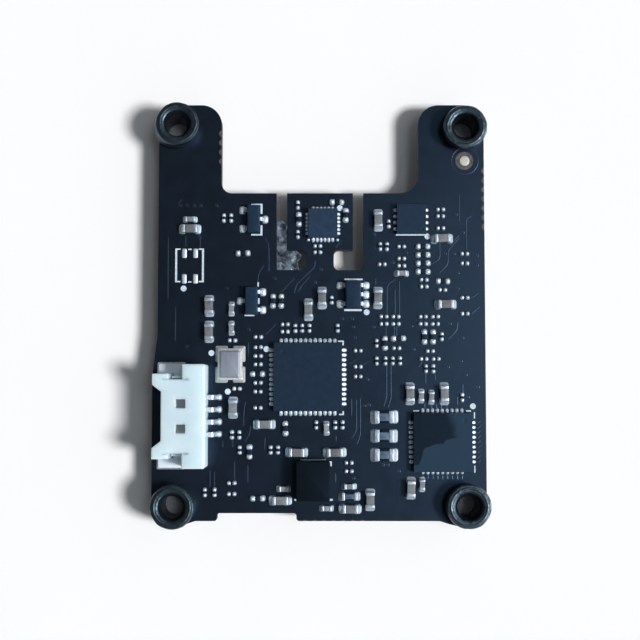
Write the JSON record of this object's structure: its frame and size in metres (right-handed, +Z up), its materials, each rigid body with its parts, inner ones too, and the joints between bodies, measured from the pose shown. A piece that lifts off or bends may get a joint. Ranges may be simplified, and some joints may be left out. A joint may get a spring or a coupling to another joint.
{
  "type": "flight controller board",
  "caption": "Small black circuit board with a notched outline and a sensor island, rubber grommets at its corners, a side-entry socket and soldered chips, for a model aircraft or its gimbal.",
  "frame": {"origin": "centre of the four-screw pattern, in the plane that the grommets stand on", "axes": "+Z up out of the component side, +Y towards the two arms, +X to the right seen from above, with the socket at -X"},
  "size_m": [0.0344, 0.0436, 0.0064],
  "materials": {
    "laminate": "glass-fibre board with a cut, fibrous edge",
    "copper": "bare copper",
    "solder_mask": "black solder mask, satin",
    "silkscreen": "white ink",
    "grommet_rubber": "black moulded rubber",
    "sealant": "clear-white silicone",
    "socket_plastic": "white moulded nylon",
    "tin_plate": "bright tin plate",
    "solder": "reflowed solder",
    "mould_compound": "black epoxy mould compound",
    "silicon": "polished silicon",
    "substrate": "package substrate",
    "ceramic_tan": "sintered capacitor ceramic",
    "ceramic_brown": "crystal package ceramic",
    "lid_metal": "brushed plated lid",
    "quartz": "clear quartz",
    "ferrite": "moulded metal powder",
    "resistor_glaze": "blue-grey glaze",
    "resistor_black": "black glaze"
  },
  "bodies": {
    "root": {"pcb_laminate": "laminate", "ground_plane": "copper", "solder_mask_top": "solder_mask", "solder_mask_bottom": "solder_mask", "copper_pads": "solder", "silkscreen": "silkscreen", "grommet_left_arm": "grommet_rubber", "grommet_right_arm": "grommet_rubber", "grommet_left_tail": "grommet_rubber", "grommet_right_tail": "grommet_rubber", "slot_sealant": "sealant", "connector_housing": "socket_plastic", "connector_contacts": "tin_plate", "connector_solder_tabs": "tin_plate", "controller_package": "mould_compound", "controller_terminals": "solder", "controller_thermal_pad": "tin_plate", "controller_die": "silicon", "driver_package": "mould_compound", "driver_terminals": "solder", "driver_thermal_pad": "tin_plate", "driver_die": "silicon", "motion_sensor_package": "mould_compound", "motion_sensor_terminals": "solder", "motion_sensor_base": "substrate", "motion_sensor_die": "silicon", "transceiver_package": "mould_compound", "transceiver_terminals": "solder", "transceiver_thermal_pad": "tin_plate", "transceiver_die": "silicon", "regulator_package": "mould_compound", "regulator_leads": "tin_plate", "regulator_die": "silicon", "transistor_packages": "mould_compound", "transistor_leads": "tin_plate", "transistor_dies": "silicon", "crystal_lands": "solder", "crystal_base": "ceramic_brown", "crystal_lid": "lid_metal", "crystal_blank": "quartz", "inductor_body": "ferrite", "inductor_coil": "copper", "inductor_terminals": "tin_plate", "sense_resistor_bodies": "resistor_glaze", "sense_resistor_ends": "tin_plate", "resistor_0603_body": "resistor_glaze", "resistor_0603_ends": "tin_plate", "capacitor_0603_bodies": "ceramic_tan", "capacitor_0603_ends": "tin_plate", "capacitor_0402_bodies": "ceramic_tan", "capacitor_0402_ends": "tin_plate", "resistor_0402_bodies": "resistor_black", "resistor_0402_ends": "tin_plate", "chip_0201_bodies": "resistor_black", "chip_0201_ends": "solder", "solder_fillets": "solder"}
  },
  "joints": []
}
